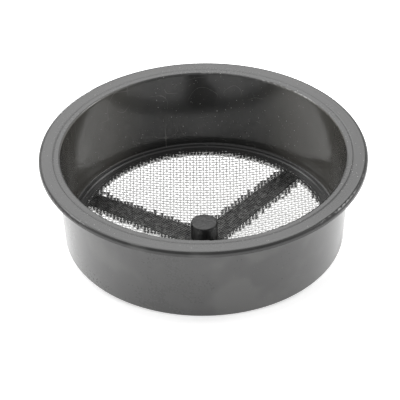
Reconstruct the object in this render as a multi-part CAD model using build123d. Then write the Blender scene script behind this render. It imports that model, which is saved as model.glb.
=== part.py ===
from build123d import *
from math import cos, radians, tan
import os

# Round strainer basket: a black moulding with a wide rim, and a woven mesh caught in its cone-shaped bottom.
# All sizes are in millimetres. Z is the basket's axis, and z = 0 is the underside of the hub,
# which is the lowest point. The photograph looks along +Y, from in front of the basket.

# Rim: a flat flange with a rounded outer edge and a fine groove in its top
rim_d = 150.0
rim_w = 9.9
rim_t = 2.4
rim_edge_round = 1.6
rim_root_round = 1.0
mouth_round = 1.1
groove_inset = 3.2
groove_w = 1.0
groove_deep = 0.12

# Wall: thin and drafted, and it ends in a narrow foot below the ledge
wall_t = 2.3
wall_draft = 3.6
foot_h = 4.2
foot_round = 0.8

# Ledge: the shelf inside the wall, with a raised bead where the mould clamped the mesh
ledge_depth = 39.4
ledge_w = 6.8
ledge_corner_round = 0.8
bead_inset = 2.4
bead_w = 1.6
bead_h = 0.5

# Cone-shaped bottom: the ledge, spokes that widen towards the middle, and a hub
floor_t = 2.4
window_corner_round = 1.0
cone_angle = 11.8
hub_shoulder = 1.75
spoke_count = 3
spoke_first_angle = 40.5
spoke_ring_w = 9.2
spoke_hub_w = 11.8

# Lift peg: cored from below, so that its wall is about as thick as the rest
peg_d = 12.5
peg_h = 9.6
peg_wall = 2.0
peg_edge_round = 0.8

# Mesh: a cone-shaped wall with gaps between flat strands, and a ridge along each strand.
# The ridges along X are on top and the ones along Y are underneath, as in a plain weave.
mesh_below_top = 0.6
mesh_catch = 1.6
mesh_t = 0.6
strand_pitch = 11.1
strand_w = 2.8
ridge_w = 1.2
ridge_h = 0.2
ridge_root = 0.15
smallest_gap = 6.0

# Locks: the plastic that went through the mesh inside each spoke
lock_count = 4
lock_d = 2.4

# Heights and radii that follow from the sizes above
cone_slope = tan(radians(cone_angle))
wall_slope = tan(radians(wall_draft))
rim_r = rim_d / 2
mouth_r = rim_r - rim_w
ledge_outer_r = mouth_r - ledge_depth * wall_slope
window_r = ledge_outer_r - ledge_w
peg_r = peg_d / 2
hub_r = peg_r + hub_shoulder
ledge_z = floor_t + (window_r - hub_r) * cone_slope
rim_top_z = ledge_z + ledge_depth
rim_seat_z = rim_top_z - rim_t
foot_z = ledge_z - foot_h
mesh_inner_r = hub_r - mesh_catch
mesh_outer_r = window_r + mesh_catch


def wall_inner_r(z):
    """Radius of the wall's inside at height z."""
    return mouth_r - (rim_top_z - z) * wall_slope


def wall_outer_r(z):
    """Radius of the wall's outside at height z."""
    return wall_inner_r(z) + wall_t / cos(radians(wall_draft))


def mesh_mid_z(r):
    """Height of the mesh's middle surface at radius r."""
    return floor_t - mesh_below_top + (r - hub_r) * cone_slope


def revolved(corners):
    """Solid of revolution about Z from a closed list of (radius, height, rounding)."""
    points = [(r, z) for r, z, _ in corners]
    roundings = [rounding for _, _, rounding in corners]
    with BuildPart() as turned:
        with BuildSketch(Plane.XZ):
            with BuildLine():
                FilletPolyline(*points, radius=roundings, close=True)
            make_face()
        revolve(axis=Axis.Z)
    return turned.part


def cone_layer(low, high):
    """Conical wall from low to high above the mesh's middle surface, over the whole mesh."""
    return revolved([
        (mesh_inner_r, mesh_mid_z(mesh_inner_r) + low, 0),
        (mesh_outer_r, mesh_mid_z(mesh_outer_r) + low, 0),
        (mesh_outer_r, mesh_mid_z(mesh_outer_r) + high, 0),
        (mesh_inner_r, mesh_mid_z(mesh_inner_r) + high, 0),
    ])


def prism(plan):
    """The plan outline as an upright prism through the whole bottom."""
    return extrude(Pos(0, 0, -floor_t) * plan, amount=rim_top_z)


def spoke_angles():
    """Directions of the spokes from the axis, in degrees."""
    return [spoke_first_angle + index * 360 / spoke_count for index in range(spoke_count)]


def spoke_outline(angle):
    """Plan of one spoke, from the axis into the ring."""
    outline = Polygon(
        (0, -spoke_hub_w / 2),
        (hub_r, -spoke_hub_w / 2),
        (window_r, -spoke_ring_w / 2),
        (mesh_outer_r, -spoke_ring_w / 2),
        (mesh_outer_r, spoke_ring_w / 2),
        (window_r, spoke_ring_w / 2),
        (hub_r, spoke_hub_w / 2),
        (0, spoke_hub_w / 2),
        align=None,
    )
    return Rot(0, 0, angle) * outline


def window_plan():
    """Plan of the openings between ring, spokes and hub, with rounded corners."""
    plan = Circle(window_r) - Circle(hub_r)
    for angle in spoke_angles():
        plan -= spoke_outline(angle)
    return fillet(plan.vertices(), window_corner_round)


def lock_plan():
    """Plan of the locks, in a row along the middle of each spoke."""
    step = (window_r - hub_r) / lock_count
    plan = Sketch()
    for angle in spoke_angles():
        for index in range(lock_count):
            plan += Rot(0, 0, angle) * Pos(hub_r + (index + 0.5) * step, 0) * Circle(lock_d / 2)
    return plan


def moulding_blank():
    """The moulding before its windows are cut: rim, wall, ledge, full bottom and peg."""
    groove_r = mouth_r + groove_inset
    bead_r = ledge_outer_r - bead_inset
    bead_top_z = ledge_z + bead_h
    under_z = ledge_z - floor_t
    peg_top_z = floor_t + peg_h
    core_r = peg_r - peg_wall
    core_top_z = peg_top_z - peg_wall
    return revolved([
        (core_r, 0, 0),
        (hub_r, 0, 0),
        (window_r, under_z, 0),
        (wall_inner_r(under_z), under_z, 0),
        (wall_inner_r(foot_z), foot_z, 0),
        (wall_outer_r(foot_z), foot_z, foot_round),
        (wall_outer_r(rim_seat_z), rim_seat_z, rim_root_round),
        (rim_r, rim_seat_z, 0),
        (rim_r, rim_top_z, rim_edge_round),
        (groove_r + groove_w / 2, rim_top_z, 0),
        (groove_r, rim_top_z - groove_deep, 0),
        (groove_r - groove_w / 2, rim_top_z, 0),
        (mouth_r, rim_top_z, mouth_round),
        (ledge_outer_r, ledge_z, ledge_corner_round),
        (bead_r + bead_w / 2, ledge_z, 0),
        (bead_r + bead_w / 2 - bead_h, bead_top_z, 0),
        (bead_r - bead_w / 2 + bead_h, bead_top_z, 0),
        (bead_r - bead_w / 2, ledge_z, 0),
        (window_r, ledge_z, 0),
        (hub_r, floor_t, 0),
        (peg_r, floor_t, 0),
        (peg_r, peg_top_z, peg_edge_round),
        (0, peg_top_z, 0),
        (0, core_top_z, 0),
        (core_r, core_top_z, 0),
    ])


def strands(width, along_y):
    """Plan of parallel strips of one width, side by side at the strand pitch, along X or Y."""
    length = 2 * mesh_outer_r
    reach = int(mesh_outer_r / strand_pitch) + 1
    plan = Sketch()
    for index in range(-reach, reach):
        place = (index + 0.5) * strand_pitch
        if along_y:
            plan += Pos(place, 0) * Rectangle(width, length)
        else:
            plan += Pos(0, place) * Rectangle(length, width)
    return plan


def mesh_blank():
    """The mesh's wall with no gaps, but with its holes for the locks."""
    return cone_layer(-mesh_t / 2, mesh_t / 2) - prism(lock_plan())


def mesh_gaps():
    """Plan of the gaps between the strands, without the slivers along the windows' edges."""
    plan = window_plan() - strands(strand_w, False) - strands(strand_w, True)
    return Sketch() + [gap for gap in plan.faces() if gap.area > smallest_gap]


def mesh_screen():
    """The mesh: its wall with the gaps cut, and the ridges inside the windows."""
    top = mesh_t / 2
    over = cone_layer(top - ridge_root, top + ridge_h) & prism(strands(ridge_w, False) & window_plan())
    under = cone_layer(-top - ridge_h, ridge_root - top) & prism(strands(ridge_w, True) & window_plan())
    return mesh_blank() - prism(mesh_gaps()) + over + under


def basket_body():
    """The moulding, with its windows open and the pocket in which the mesh is caught."""
    return moulding_blank() - prism(window_plan()) - mesh_blank()


def main():
    os.makedirs("parts", exist_ok=True)
    export_step(basket_body(), "parts/basket_body.step")
    export_step(mesh_screen(), "parts/mesh_screen.step")


main()
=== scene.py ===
"""Strainer basket: the looks of its black moulding and its woven mesh, and the studio round it.

All lengths are in metres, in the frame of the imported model: Z is the basket's axis and z = 0 is the
underside of the hub. The mesh is woven wire by wire along the cone in which the moulding caught it.
"""

import random
from math import cos, floor, hypot, pi, radians, sin, sqrt, tan
from types import SimpleNamespace

import bmesh
import bpy
from mathutils import Matrix, Vector


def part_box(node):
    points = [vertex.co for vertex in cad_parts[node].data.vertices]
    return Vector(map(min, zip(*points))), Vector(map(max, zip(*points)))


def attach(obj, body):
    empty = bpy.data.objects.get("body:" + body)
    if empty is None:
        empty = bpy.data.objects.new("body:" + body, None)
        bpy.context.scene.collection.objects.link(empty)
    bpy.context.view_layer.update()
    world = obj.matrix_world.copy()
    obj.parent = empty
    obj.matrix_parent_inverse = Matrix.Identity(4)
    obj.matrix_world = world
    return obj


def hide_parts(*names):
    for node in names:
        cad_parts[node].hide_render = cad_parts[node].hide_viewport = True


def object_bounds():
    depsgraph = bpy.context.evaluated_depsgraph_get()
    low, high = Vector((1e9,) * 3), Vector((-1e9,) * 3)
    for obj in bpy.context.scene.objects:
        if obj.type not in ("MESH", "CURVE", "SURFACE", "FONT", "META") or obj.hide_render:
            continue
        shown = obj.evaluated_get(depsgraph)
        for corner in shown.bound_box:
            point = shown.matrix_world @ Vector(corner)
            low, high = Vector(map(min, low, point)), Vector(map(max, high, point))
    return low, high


bl_info = {
    "name": "Strainer Basket",
    "version": (1, 0, 0),
    "blender": (4, 5, 0),
    "location": "3D View > Sidebar > Strainer Basket",
    "description": "Finishes the moulding, weaves the mesh and sets up the studio",
    "category": "Object",
}

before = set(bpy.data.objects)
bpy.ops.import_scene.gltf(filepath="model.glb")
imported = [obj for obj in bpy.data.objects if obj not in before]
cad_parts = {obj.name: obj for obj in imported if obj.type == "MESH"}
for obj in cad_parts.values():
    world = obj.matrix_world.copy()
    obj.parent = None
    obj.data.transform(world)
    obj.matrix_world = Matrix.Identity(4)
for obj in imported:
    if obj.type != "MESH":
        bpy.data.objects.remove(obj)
cad_low, cad_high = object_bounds()
rim_top_z = cad_high.z
mesh_outer_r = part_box("mesh_screen")[1].x

# Sizes of the moulding that the looks follow, as in the part's source
mouth_r = 0.0651
wall_t = 0.0023
wall_slope = tan(radians(3.6))
ledge_outer_r = 0.06262
window_r = 0.05582
hub_r = 0.008
peg_r = 0.00625
floor_t = 0.0024
cone_slope = tan(radians(11.8))
spoke_count = 3
spoke_first = radians(40.5)
spoke_ring_w = 0.0092
spoke_hub_w = 0.0118
ledge_z = floor_t + (window_r - hub_r) * cone_slope

# How far the wires stay from the mesh's edge, sideways and at their ends, and how far they reach into the hub
wire_edge_gap = 0.0008
wire_end_gap = 0.0005
wire_hub_reach = 0.0013

# Colours of the marks and the studio, as red, green, blue and alpha
SMUDGE = (0.16, 0.16, 0.155, 1.0)
FILM = (0.075, 0.072, 0.066, 1.0)
# The next colour is a painted reflection of the mesh on the inner side walls.
PAINTED_MESH_REFLECTION = (0.115, 0.110, 0.098, 1.0)
SPOKE_HAZE = (0.21, 0.21, 0.205, 1.0)
PEG_BLACK = (0.003, 0.003, 0.003, 1.0)
WIRE_SOIL = (0.62, 0.60, 0.54, 1.0)
PAPER = (0.9, 0.9, 0.9, 1.0)
WHITE = (1.0, 1.0, 1.0, 1.0)


class MeshSizes(bpy.types.PropertyGroup):
    """Sizes and colour of the woven mesh."""

    pitch: bpy.props.FloatProperty(
        name="Wire pitch", description="Distance from one wire to the next, both ways",
        default=0.00159, min=0.0005, max=0.01, precision=5, unit="LENGTH")
    wire_d: bpy.props.FloatProperty(
        name="Wire thickness", description="Diameter of each round wire",
        default=0.00055, min=0.0001, max=0.002, precision=5, unit="LENGTH")
    depth: bpy.props.FloatProperty(
        name="Depth below the spokes", description="From the spokes' top down to the middle of the mesh",
        default=0.0006, min=0.0002, max=0.0022, precision=5, unit="LENGTH")
    steps: bpy.props.IntProperty(
        name="Steps per opening", description="Straight steps of a wire from one crossing to the next",
        default=4, min=2, max=8)
    colour: bpy.props.FloatVectorProperty(
        name="Wire colour", description="Colour of the white plastic wires",
        default=(0.86, 0.86, 0.85), size=3, min=0.0, max=1.0, subtype="COLOR")


class FlashSizes(bpy.types.PropertyGroup):
    """Sizes of the plastic that ran into the mesh's openings."""

    spoke_reach: bpy.props.FloatProperty(
        name="Reach from spokes", description="How far from a spoke the openings may be filled",
        default=0.0034, min=0.0001, max=0.01, precision=5, unit="LENGTH")
    ring_reach: bpy.props.FloatProperty(
        name="Reach from ring", description="How far from the ring or the hub the openings may be filled",
        default=0.0012, min=0.0001, max=0.01, precision=5, unit="LENGTH")
    thickness: bpy.props.FloatProperty(
        name="Thickness", description="Thickness of the plastic in a filled opening",
        default=0.00080, min=0.0001, max=0.002, precision=5, unit="LENGTH")
    seed: bpy.props.IntProperty(
        name="Seed", description="Chooses which openings are filled", default=7, min=0)


class MouldingFinish(bpy.types.PropertyGroup):
    """Colours of the black plastic."""

    colour: bpy.props.FloatVectorProperty(
        name="Plastic colour", description="Colour of clean black plastic",
        default=(0.018, 0.018, 0.0175), size=3, min=0.0, max=1.0, subtype="COLOR")
    # The pale grey is painted light outside and on the rim, and an uneven tone on the flash.
    pale_grey: bpy.props.FloatVectorProperty(
        name="Haze colour", description="Colour of the rubbed and dusty plastic outside and on the rim",
        default=(0.095, 0.095, 0.094), size=3, min=0.0, max=1.0, subtype="COLOR")
    dust: bpy.props.FloatVectorProperty(
        name="Dust colour", description="Colour of dust specks, lint and scratches",
        default=(0.55, 0.54, 0.51), size=3, min=0.0, max=1.0, subtype="COLOR")


class StudioSettings(bpy.types.PropertyGroup):
    """Camera, light and floor."""

    elevation: bpy.props.FloatProperty(
        name="Camera elevation", description="Angle of the camera above the plane of the rim",
        default=radians(36.58), subtype="ANGLE")
    distance: bpy.props.FloatProperty(
        name="Camera distance", description="From the middle of the mouth to the camera",
        default=1.0335, min=0.2, max=10.0, unit="LENGTH")
    roll: bpy.props.FloatProperty(
        name="Camera roll", description="Turn of the camera about its own axis",
        default=radians(-0.889), subtype="ANGLE")
    lens: bpy.props.FloatProperty(
        name="Lens", description="Focal length on a 36 mm sensor",
        default=204.4, min=10.0, max=1000.0, unit="CAMERA")
    softbox: bpy.props.FloatProperty(
        name="Softbox brightness", description="Brightness of the large softbox above and behind",
        default=2.1, min=0.0, max=20.0)
    side_light: bpy.props.FloatProperty(
        name="Side light brightness", description="Brightness of the softboxes at the left and the right",
        default=6.0, min=0.0, max=50.0)
    ambient: bpy.props.FloatProperty(
        name="Ambient light", description="Even light from all round, on surfaces that aren't glossy",
        default=0.5, min=0.0, max=2.0)


def cone_top_z(r):
    """Height of the spokes' top at radius r."""
    return floor_t + (r - hub_r) * cone_slope


def mesh_mid_z(r, depth):
    """Height of the mesh's middle surface at radius r."""
    return cone_top_z(r) - depth


# Shader maths


class Signal:
    """A number in a material, on which Python's operators add Math nodes."""

    def __init__(self, shading, socket):
        self.shading = shading
        self.socket = socket

    def __add__(self, other):
        return self.shading.maths("ADD", self, other)

    def __radd__(self, other):
        return self.shading.maths("ADD", other, self)

    def __sub__(self, other):
        return self.shading.maths("SUBTRACT", self, other)

    def __rsub__(self, other):
        return self.shading.maths("SUBTRACT", other, self)

    def __mul__(self, other):
        return self.shading.maths("MULTIPLY", self, other)

    def __rmul__(self, other):
        return self.shading.maths("MULTIPLY", other, self)

    def __pow__(self, other):
        return self.shading.maths("POWER", self, other)

    def __abs__(self):
        return self.shading.maths("ABSOLUTE", self)

    def __gt__(self, other):
        return self.shading.maths("GREATER_THAN", self, other)

    def __lt__(self, other):
        return self.shading.maths("LESS_THAN", self, other)


class Shading:
    """The nodes of one material or world."""

    def __init__(self, tree):
        self.tree = tree
        tree.nodes.clear()

    def node(self, kind, settings=None, **sockets):
        """Adds a node, makes its settings and then fills its sockets.

        A socket goes by its name with _ for a space, or by i and its number.
        """
        made = self.tree.nodes.new(kind)
        for name, value in (settings or {}).items():
            setattr(made, name, value)
        for name, value in sockets.items():
            place = int(name[1:]) if name[1:].isdigit() and name[0] == "i" else name.replace("_", " ")
            self.fill(made.inputs[place], value)
        return made

    def fill(self, socket, value):
        """Links a socket to another one, or sets its value."""
        if isinstance(value, Signal):
            value = value.socket
        if isinstance(value, bpy.types.NodeSocket):
            self.tree.links.new(value, socket)
        else:
            socket.default_value = value

    def maths(self, operation, a, b=0.0):
        """One Math node."""
        made = self.node("ShaderNodeMath", {"operation": operation}, i0=a, i1=b)
        return Signal(self, made.outputs[0])

    def smooth(self, value, low, high):
        """0 below low, 1 above high and a smooth step between."""
        made = self.node("ShaderNodeMapRange", {"interpolation_type": "SMOOTHSTEP"},
                         Value=value, From_Min=low, From_Max=high)
        return Signal(self, made.outputs["Result"])

    def clamp(self, value):
        """The value, kept between 0 and 1."""
        made = self.node("ShaderNodeClamp", None, Value=value)
        return Signal(self, made.outputs[0])

    def higher(self, a, b):
        """The higher of two values."""
        return self.maths("MAXIMUM", a, b)

    def mix(self, factor, a, b):
        """Colour a where factor is 0 and b where it is 1."""
        made = self.node("ShaderNodeMix", {"data_type": "RGBA"}, i0=factor, i6=a, i7=b)
        return made.outputs[2]

    def place(self):
        """The Object coordinates, whole and as x, y and z."""
        vector = self.node("ShaderNodeTexCoord").outputs["Object"]
        split = self.node("ShaderNodeSeparateXYZ", None, Vector=vector)
        return vector, *(Signal(self, out) for out in split.outputs)

    def vector(self, x, y, z):
        """Three values as one vector."""
        return self.node("ShaderNodeCombineXYZ", None, X=x, Y=y, Z=z).outputs[0]

    def noise(self, vector, scale, detail=2.0, roughness=0.5):
        """Soft random clouds about 0.5."""
        made = self.node("ShaderNodeTexNoise", None, Vector=vector, Scale=scale, Detail=detail,
                         Roughness=roughness)
        return Signal(self, made.outputs["Fac"])

    def specks(self, vector, spacing, radius):
        """1 in round specks of one radius, strewn at about that spacing."""
        made = self.node("ShaderNodeTexVoronoi", None, Vector=vector, Scale=1 / spacing)
        away = Signal(self, made.outputs["Distance"])
        return 1 - self.smooth(away, 0.6 * radius / spacing, radius / spacing)

    def hairlines(self, vector, scale, width, detail=1.0):
        """1 on thin wandering lines, where a noise passes its middle value."""
        away = abs(self.noise(vector, scale, detail) - 0.5)
        return 1 - self.smooth(away, 0.3 * width, width)

    def bump(self, height, distance, normal=None):
        """The normal, roughened by a height that is worth this distance where it is 1."""
        sockets = {"Height": height, "Distance": distance}
        if normal is not None:
            sockets["Normal"] = normal
        return self.node("ShaderNodeBump", None, **sockets).outputs[0]

    def seen_or_reflected(self):
        """1 where the camera sees a thing, itself or in gloss or glass."""
        path = self.node("ShaderNodeLightPath").outputs
        camera = Signal(self, path["Is Camera Ray"])
        gloss = Signal(self, path["Is Glossy Ray"])
        glass = Signal(self, path["Is Transmission Ray"])
        return self.higher(self.higher(camera, gloss), glass)

    def plastic(self, **sockets):
        """Ends the material in one Principled shader."""
        shader = self.node("ShaderNodeBsdfPrincipled", None, **sockets)
        self.node("ShaderNodeOutputMaterial", None, Surface=shader.outputs[0])


def new_material(name):
    """A material without nodes, and the Shading that adds them."""
    made = bpy.data.materials.new(name)
    made.use_nodes = True
    return made, Shading(made.node_tree)


def colour4(colour):
    """A colour property with an alpha of 1."""
    return (*colour, 1.0)


# Materials


def moulding_zones(s, r, z):
    """Masks of the moulding's surfaces, each 1 on its surface and 0 elsewhere."""
    rim_low_z, bottom_top_z = rim_top_z - 0.0025, ledge_z + 0.0025
    edge_start_r, edge_full_r = 0.0700, 0.0736
    middle_full_r, middle_end_r = 0.034, 0.056
    wall_middle_r = mouth_r + wall_t / 2 - (rim_top_z - z) * wall_slope

    rim_top = s.smooth(z, rim_top_z - 0.00030, rim_top_z - 0.00005)
    outside = s.clamp((r > wall_middle_r) - rim_top)
    inside = s.clamp(1 - outside - rim_top)
    bottom = (r < ledge_outer_r - 0.0002) * (z < bottom_top_z)
    spokes = bottom * (r > peg_r + 0.0003) * (1 - s.smooth(r, window_r - 0.0006, window_r + 0.0006))
    peg = bottom * (r < peg_r + 0.0004)
    return SimpleNamespace(
        outside=outside,
        inside=inside,
        rim_top=rim_top,
        rim_edge=s.smooth(r, edge_start_r, edge_full_r) * (z > rim_low_z),
        wall=s.clamp(inside - bottom),
        ledge=s.clamp(bottom - spokes - peg),
        spokes=spokes,
        spoke_middle=spokes * (1 - s.smooth(r, middle_full_r, middle_end_r)),
        peg=peg,
    )


def moulding_marks(s, zone, where, turn, y, z):
    """1 on specks of dust, and in part on lint and scratches. The turn is the angle about the axis."""
    dust_spread = s.smooth(s.noise(where, 14.0, 2.0), 0.42, 0.60)
    dust = s.specks(where, 0.0027, 0.00022) * (0.35 + 0.65 * dust_spread) * (1 - 0.8 * zone.outside)
    fine_dust = s.specks(where, 0.0013, 0.00010) * dust_spread * zone.inside
    lint_spread = s.smooth(s.noise(where, 55.0, 1.0), 0.60, 0.66)
    lint = s.hairlines(s.vector(turn * 0.045, y, z), 60.0, 0.0020) * lint_spread
    scratch_spread = s.smooth(s.noise(where, 38.0, 2.0), 0.52, 0.62)
    scratches = s.hairlines(s.vector(turn * 0.02, 0.0, z * 0.35), 260.0, 0.0055, 0.0) * scratch_spread
    return s.clamp(dust + fine_dust + (0.4 * lint + 0.25 * scratches) * zone.wall)


def grey_share_and_painted_light(s, zone, clouds, y):
    """How much of the pale grey the plastic gets: most outside, where it is painted light, and in the middle
    of the spokes.
    """
    # Outside, the pale grey is painted light: the outer wall is painted lighter than the shaded inside.
    pale_grey = zone.outside * (0.8 + 0.5 * (clouds - 0.5)) + 0.2 * zone.wall + 0.3 * zone.ledge
    # The rim's top is painted lighter, most towards the back: a painted highlight.
    pale_grey = pale_grey + zone.rim_top * (0.24 + 0.2 * s.smooth(y, -0.05, 0.05))
    # The rim's outer edge is painted darker: painted shade along its rounding.
    return s.clamp(pale_grey * (1 - 0.85 * zone.rim_edge) + 0.75 * zone.spoke_middle)


def mesh_through_spokes(s, where, x, y, pitch):
    """The fine grid of the mesh inside the spokes, and the uneven plastic between its wires."""
    step = 2 * pi / pitch
    ribs = s.maths("COSINE", x * step) * s.maths("COSINE", y * step)
    mottle = s.clamp(0.5 + 4.0 * (s.noise(where, 520.0, 2.0) - 0.5) + 0.25 * ribs)
    return ribs, mottle


def moulding_material(finish, pitch):
    """Satin black plastic: painted lighter outside for the light it gets, glossier inside, with dust, lint
    and scratches.
    """
    material, s = new_material("black_plastic_moulding")
    where, x, y, z = s.place()
    zone = moulding_zones(s, (x * x + y * y) ** 0.5, z)
    marks = moulding_marks(s, zone, where, s.maths("ARCTAN2", x, y), y, z)
    ribs, mottle = mesh_through_spokes(s, where, x, y, pitch)
    clouds = s.noise(where, 30.0, 3.0)
    grain = s.noise(where, 900.0, 2.0)
    smudge = s.smooth(s.noise(where, 42.0, 2.0, 0.45), 0.50, 0.66) * zone.outside
    film = s.smooth(s.noise(where, 60.0, 5.0, 0.7), 0.45, 0.75) * zone.wall
    # The inner side walls towards the back are painted lighter olive grey: a painted reflection of the white
    # mesh.
    painted_side_reflection = s.smooth(abs(x), 0.022, 0.046) * s.smooth(y, -0.004, 0.016) * zone.wall

    # The pale grey paints the light on the outside and on the rim.
    colour = s.mix(grey_share_and_painted_light(s, zone, clouds, y), colour4(finish.colour), colour4(finish.pale_grey))
    for share, cover in (
        (0.5 * smudge, SMUDGE),
        (0.25 * film, FILM),
        (0.75 * painted_side_reflection, PAINTED_MESH_REFLECTION),
        (zone.spokes * mottle * (0.35 + 0.55 * zone.spoke_middle), SPOKE_HAZE),
        (0.8 * zone.peg, PEG_BLACK),
        (0.8 * marks, colour4(finish.dust)),
    ):
        colour = s.mix(share, colour, cover)

    roughness = 0.15 + (0.13 * zone.outside + 0.12 * zone.rim_top) * (1 - 0.6 * zone.rim_edge)
    roughness = roughness + 0.14 * zone.spokes + 0.16 * zone.spoke_middle + 0.3 * zone.peg + 0.2 * zone.ledge
    roughness = roughness + 0.08 * smudge + 0.06 * film + 0.2 * marks * zone.inside
    roughness = roughness + 0.05 * (clouds - 0.5) + 0.04 * (grain - 0.5)

    surface = s.bump((ribs + 1.5 * mottle) * zone.spokes, 0.0005)
    surface = s.bump(s.noise(where, 420.0, 3.0) * zone.peg, 0.0003, surface)
    surface = s.bump(s.noise(where, 180.0, 2.0), 0.00001, surface)

    s.plastic(Base_Color=colour, Roughness=roughness, Normal=surface, Specular_IOR_Level=0.5,
              Coat_Weight=0.45 * zone.wall + 0.3 * zone.outside * (1 - zone.rim_edge), Coat_Roughness=0.14)
    return material


def wire_material(colour):
    """White nylon wire, a little uneven and slightly dusty."""
    material, s = new_material("white_mesh_wire")
    where = s.place()[0]
    clouds = s.noise(where, 90.0, 3.0)
    soil = s.smooth(s.noise(where, 38.0, 2.0), 0.60, 0.78)
    tint = s.mix(soil * 0.25, colour4(colour), WIRE_SOIL)
    s.plastic(Base_Color=tint, Roughness=0.42 + 0.12 * (clouds - 0.5),
              Normal=s.bump(s.noise(where, 1800.0, 2.0), 0.00002))
    return material


def flash_material(finish):
    """The moulding's plastic where it ran through the mesh: matt and uneven."""
    material, s = new_material("black_plastic_flash")
    where = s.place()[0]
    clouds = s.noise(where, 300.0, 3.0)
    tint = s.mix(clouds * 0.5, colour4(finish.colour), colour4(finish.pale_grey))
    s.plastic(Base_Color=tint, Roughness=0.45 + 0.15 * (clouds - 0.5),
              Normal=s.bump(s.noise(where, 1500.0, 2.0), 0.00004))
    return material


def floor_material():
    """White paper: overexposed to the camera but for the basket's shadow, and clear from below."""
    material, s = new_material("studio_floor")
    x, y = s.place()[1:3]
    seen = s.seen_or_reflected()
    direct = Signal(s, s.node("ShaderNodeLightPath").outputs["Is Camera Ray"])
    below = Signal(s, s.node("ShaderNodeNewGeometry").outputs["Backfacing"])

    # The glow is weaker outside the foot, so under the basket, where its shade falls, the stronger glow is
    # painted light; close to the foot the camera sees the weakest glow, painted shadow that deepens the real
    # contact shadow
    r = (x * x + y * y) ** 0.5
    beside = s.smooth(r, 0.056, 0.061)
    painted_contact_shade = beside * (1 - s.smooth(r, 0.066, 0.082))
    glow = s.node("ShaderNodeEmission", None, Strength=seen * (0.97 - 0.12 * beside - 0.25 * direct * painted_contact_shade))

    paper = s.node("ShaderNodeBsdfDiffuse", None, Color=PAPER)
    lit = s.node("ShaderNodeAddShader", None, i0=paper.outputs[0], i1=glow.outputs[0])
    clear = s.node("ShaderNodeBsdfTransparent")
    both = s.node("ShaderNodeMixShader", None, i0=below, i1=lit.outputs[0], i2=clear.outputs[0])
    s.node("ShaderNodeOutputMaterial", None, Surface=both.outputs[0])
    return material


# Mesh tools


def mesh_object(name, shape, material):
    """Makes the shape an object at the origin, in the scene."""
    data = bpy.data.meshes.new(name)
    shape.to_mesh(data)
    shape.free()
    data.materials.append(material)
    made = bpy.data.objects.new(name, data)
    bpy.context.scene.collection.objects.link(made)
    return made


def finish_piece(name, shape, material, smooth_shading=True):
    """Makes the shape a piece that rides on the basket."""
    piece = mesh_object(name, shape, material)
    if smooth_shading:
        piece.data.shade_smooth()
    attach(piece, "root")
    return piece


def remove_old(*names):
    """Clears what an earlier run of an operator made."""
    for name in names:
        old = bpy.data.objects.get(name)
        if old is not None:
            bpy.data.objects.remove(old, do_unlink=True)


def wire_spans(offset, step):
    """Start and end of the stretches of the wire at this offset from the axis, in whole steps."""
    mesh_r, hole_r = mesh_outer_r - wire_end_gap, hub_r - wire_hub_reach
    reach = floor(sqrt(mesh_r ** 2 - offset ** 2) / step) * step
    if abs(offset) >= hole_r:
        return [(-reach, reach)]
    inner = (floor(sqrt(hole_r ** 2 - offset ** 2) / step) + 1) * step
    return [(-reach, -inner), (inner, reach)]


def add_bar(shape, wire_r, length, step):
    """Adds a round bar along Z in whole steps, centred on the origin, and returns its vertices."""
    first = len(shape.verts)
    bar = bmesh.ops.create_cone(
        shape, cap_ends=True, segments=6, radius1=wire_r, radius2=wire_r, depth=length)
    long_edges = [e for e in {e for v in bar["verts"] for e in v.link_edges}
                  if abs(e.verts[0].co.z - e.verts[1].co.z) > step / 2]
    bmesh.ops.subdivide_edges(shape, edges=long_edges, cuts=round(length / step) - 1)
    shape.verts.ensure_lookup_table()
    return shape.verts[first:]


def weave(sizes, along_y):
    """All wires of one direction, each a round bar that waves over and under the others."""
    pitch, wire_r = sizes.pitch, sizes.wire_d / 2
    step = pitch / sizes.steps
    count = floor((mesh_outer_r - wire_edge_gap) / pitch)
    shape = bmesh.new()
    for index in range(-count, count + 1):
        offset = index * pitch
        lift = wire_r * (1 if index % 2 else -1) * (1 if along_y else -1)
        for start, end in wire_spans(offset, step):
            if end - start < 2 * step:
                continue
            for v in add_bar(shape, wire_r, end - start, step):
                across, rise, along = v.co.x, v.co.y, v.co.z + (start + end) / 2
                wave = lift * cos(pi * along / pitch)
                x, y = (offset + across, along) if along_y else (along, offset + across)
                v.co = (x, y, rise + wave + mesh_mid_z(hypot(x, y), sizes.depth))
    bmesh.ops.recalc_face_normals(shape, faces=shape.faces)
    return shape


def away_from_ring(x, y):
    """Distance of a point in a window from the ring or the hub. Negative inside them."""
    r = hypot(x, y)
    return min(window_r - r, r - hub_r)


def away_from_spokes(x, y):
    """Distance of a point in a window from the nearest spoke. Negative inside it."""
    nearest = window_r
    for index in range(spoke_count):
        angle = spoke_first + index * 2 * pi / spoke_count
        along = x * cos(angle) + y * sin(angle)
        across = abs(y * cos(angle) - x * sin(angle))
        if along > 0:
            share = min(max((along - hub_r) / (window_r - hub_r), 0), 1)
            half = (spoke_hub_w + (spoke_ring_w - spoke_hub_w) * share) / 2
            nearest = min(nearest, across - half)
    return nearest


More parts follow.
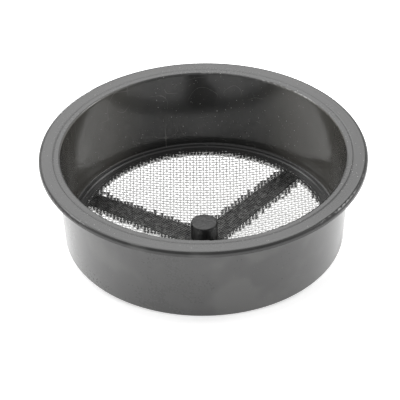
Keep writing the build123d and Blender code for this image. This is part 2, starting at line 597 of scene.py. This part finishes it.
def flash_shape(sizes, mesh):
    """A small rounded pad in each opening of the mesh that the plastic filled.

    Every opening beside the plastic is filled, and fewer of them further out. A share of 1 is the reach.
    """
    chance = random.Random(sizes.seed)
    pitch = mesh.pitch
    overlap = 0.4 * pitch
    edge_round = 0.00016
    reach = floor(window_r / pitch) + 1
    shape = bmesh.new()
    for i in range(-reach, reach):
        for j in range(-reach, reach):
            x, y = (i + 0.5) * pitch, (j + 0.5) * pitch
            from_ring, from_spokes = away_from_ring(x, y), away_from_spokes(x, y)
            share = max(min(from_ring / sizes.ring_reach, from_spokes / sizes.spoke_reach), 0)
            draw = chance.random()
            width = pitch * chance.uniform(0.66, 0.82)
            length = pitch * chance.uniform(0.74, 0.92)
            height = sizes.thickness * chance.uniform(1.05, 1.35)
            if min(from_ring, from_spokes) < -overlap or share > 1 or draw > 1.2 - share ** 1.5:
                continue
            place = Matrix.Translation((x, y, 0)) @ Matrix.Diagonal((width, length, height, 1))
            bmesh.ops.create_cube(shape, size=1, matrix=place)
    bmesh.ops.bevel(shape, geom=shape.edges[:], offset=edge_round, offset_type="OFFSET", affect="EDGES",
                    segments=1, profile=0.5, material=-1)
    for v in shape.verts:
        v.co.z += mesh_mid_z(hypot(v.co.x, v.co.y), mesh.depth)
    bmesh.ops.recalc_face_normals(shape, faces=shape.faces)
    return shape


# Operators


class STRAINER_OT_finish_moulding(bpy.types.Operator):
    """Gives the moulding its black plastic"""

    bl_idname = "strainer.finish_moulding"
    bl_label = "Finish the Moulding"

    def execute(self, context):
        scene = context.scene
        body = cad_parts["basket_body"]
        material = moulding_material(scene.strainer_moulding, scene.strainer_mesh.pitch)
        body.material_slots[0].material = material
        return {"FINISHED"}


class STRAINER_OT_weave_mesh(bpy.types.Operator):
    """Weaves the mesh from round wires in both directions"""

    bl_idname = "strainer.weave_mesh"
    bl_label = "Weave the Mesh"

    def execute(self, context):
        sizes = context.scene.strainer_mesh
        remove_old("mesh_wires_along_y", "mesh_wires_along_x")
        material = wire_material(sizes.colour)
        for name, along_y in (("mesh_wires_along_y", True), ("mesh_wires_along_x", False)):
            piece = finish_piece(name, weave(sizes, along_y), material)
            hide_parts("mesh_screen")
        return {"FINISHED"}


class STRAINER_OT_add_flash(bpy.types.Operator):
    """Fills the mesh's openings along the spokes, the ring and the hub with plastic"""

    bl_idname = "strainer.add_flash"
    bl_label = "Add the Flash"

    def execute(self, context):
        scene = context.scene
        remove_old("mesh_flash")
        material = flash_material(scene.strainer_moulding)
        shape = flash_shape(scene.strainer_flash, scene.strainer_mesh)
        finish_piece("mesh_flash", shape, material, smooth_shading=False)
        return {"FINISHED"}


class STRAINER_OT_set_studio(bpy.types.Operator):
    """Sets up the floor, the lights, the background and the camera"""

    bl_idname = "strainer.set_studio"
    bl_label = "Set up the Studio"

    def execute(self, context):
        studio = context.scene.strainer_studio
        remove_old("studio_floor", "softbox_above", "softbox_left", "softbox_right", "studio_camera")
        self.lay_floor()
        self.hang_softbox("softbox_above", azimuth=-22, elevation=57, distance=1.5,
                          width=1.5, height=1.35, brightness=studio.softbox)
        for name, azimuth in (("softbox_left", -75), ("softbox_right", 75)):
            self.hang_softbox(name, azimuth=azimuth, elevation=38, distance=1.4,
                              width=0.4, height=0.4, brightness=studio.side_light)
        self.light_world(context.scene, studio.ambient)
        self.place_camera(context.scene, studio)
        context.scene.view_settings.view_transform = "Standard"
        return {"FINISHED"}

    def lay_floor(self):
        """The basket rests on its hub and the front of its foot, so the floor slopes in its frame."""
        foot_r, foot_z = 0.0640, 0.00815
        slope = foot_z / (foot_r - hub_r)
        gap = 0.00006
        shape = bmesh.new()
        bmesh.ops.create_circle(shape, cap_ends=True, segments=64, radius=1.6)
        for v in shape.verts:
            v.co.z = -(v.co.y + hub_r) * slope - gap
        bmesh.ops.recalc_face_normals(shape, faces=shape.faces)
        if shape.faces[:][0].normal.z < 0:
            bmesh.ops.reverse_faces(shape, faces=shape.faces)
        floor_piece = mesh_object("studio_floor", shape, floor_material())

    def hang_softbox(self, name, azimuth, elevation, distance, width, height, brightness):
        """A rectangular softbox that faces the basket. Its azimuth goes from +Y towards +X, in degrees."""
        light = bpy.data.lights.new(name, "AREA")
        light.shape = "RECTANGLE"
        light.size, light.size_y = width, height
        # A brightness of 1 takes 4 watts on a square metre
        light.energy = 4 * width * height * brightness
        lamp = bpy.data.objects.new(name, light)
        a, e = radians(azimuth), radians(elevation)
        outward = Vector((sin(a) * cos(e), cos(a) * cos(e), sin(e)))
        lamp.location = outward * distance
        lamp.rotation_euler = outward.to_track_quat("Z", "Y").to_euler()
        bpy.context.scene.collection.objects.link(lamp)

    def light_world(self, scene, ambient):
        """White for what the camera and the gloss see, but for the dark side of the room above the camera.

        The rest gets an even dim light.
        """
        dark_centre = (0.0, -sin(radians(48)), cos(radians(48)))
        dark_outer, dark_inner = cos(radians(50)), cos(radians(28))
        dark_share = 0.95
        widened = (0.6, 1.0, 1.0)
        world = bpy.data.worlds.new("studio_world")
        world.use_nodes = True
        s = Shading(world.node_tree)
        away = s.node("ShaderNodeTexCoord").outputs["Generated"]
        away = s.node("ShaderNodeVectorMath", {"operation": "MULTIPLY"}, i0=away, i1=widened)
        away = s.node("ShaderNodeVectorMath", {"operation": "NORMALIZE"}, i0=away.outputs["Vector"])
        near_centre = s.node("ShaderNodeVectorMath", {"operation": "DOT_PRODUCT"},
                             i0=away.outputs["Vector"], i1=dark_centre)
        dark = s.smooth(near_centre.outputs["Value"], dark_outer, dark_inner)
        seen = s.seen_or_reflected()
        background = s.node("ShaderNodeBackground", None, Color=WHITE,
                            Strength=ambient + (1 - ambient) * (1 - dark_share * dark) * seen)
        s.node("ShaderNodeOutputWorld", None, Surface=background.outputs[0])
        scene.world = world

    def place_camera(self, scene, studio):
        """The photograph's viewpoint, measured from the mouth of the basket."""
        aim_depth, shift_left, shift_down = 0.0008, 0.00147, 0.02119
        e, turn = studio.elevation, studio.roll
        right, up, ahead = Vector((1, 0, 0)), Vector((0, sin(e), cos(e))), Vector((0, cos(e), -sin(e)))
        side = cos(turn) * right + sin(turn) * up
        top = cos(turn) * up - sin(turn) * right
        aim = Vector((0, 0, rim_top_z - aim_depth))
        data = bpy.data.cameras.new("studio_camera")
        data.lens, data.sensor_width = studio.lens, 36.0
        data.clip_start, data.clip_end = 0.01, 10.0
        camera = bpy.data.objects.new("studio_camera", data)
        stand = aim - shift_left * side - shift_down * top - studio.distance * ahead
        camera.matrix_world = Matrix.Translation(stand) @ Matrix((side, top, -ahead)).transposed().to_4x4()
        scene.collection.objects.link(camera)
        scene.camera = camera


class STRAINER_PT_panel(bpy.types.Panel):
    """Sizes, colours and steps of the strainer basket"""

    bl_idname = "STRAINER_PT_panel"
    bl_label = "Strainer Basket"
    bl_space_type = "VIEW_3D"
    bl_region_type = "UI"
    bl_category = "Strainer Basket"

    def draw(self, context):
        for group, operator in zip(GROUPS, OPERATORS):
            box = self.layout.box()
            settings = getattr(context.scene, group)
            for name in settings.bl_rna.properties.keys():
                if name not in ("rna_type", "name"):
                    box.prop(settings, name)
            box.operator(operator.bl_idname)


GROUPS = {
    "strainer_moulding": MouldingFinish,
    "strainer_mesh": MeshSizes,
    "strainer_flash": FlashSizes,
    "strainer_studio": StudioSettings,
}
OPERATORS = (
    STRAINER_OT_finish_moulding,
    STRAINER_OT_weave_mesh,
    STRAINER_OT_add_flash,
    STRAINER_OT_set_studio,
)


def register():
    for cls in (*GROUPS.values(), *OPERATORS, STRAINER_PT_panel):
        bpy.utils.register_class(cls)
    for name, group in GROUPS.items():
        setattr(bpy.types.Scene, name, bpy.props.PointerProperty(type=group))


def unregister():
    for name in GROUPS:
        delattr(bpy.types.Scene, name)
    for cls in reversed((*GROUPS.values(), *OPERATORS, STRAINER_PT_panel)):
        bpy.utils.unregister_class(cls)


def main():
    register()
    bpy.ops.strainer.finish_moulding()
    bpy.ops.strainer.weave_mesh()
    bpy.ops.strainer.add_flash()
    bpy.ops.strainer.set_studio()


if __name__ == "__main__":
    main()
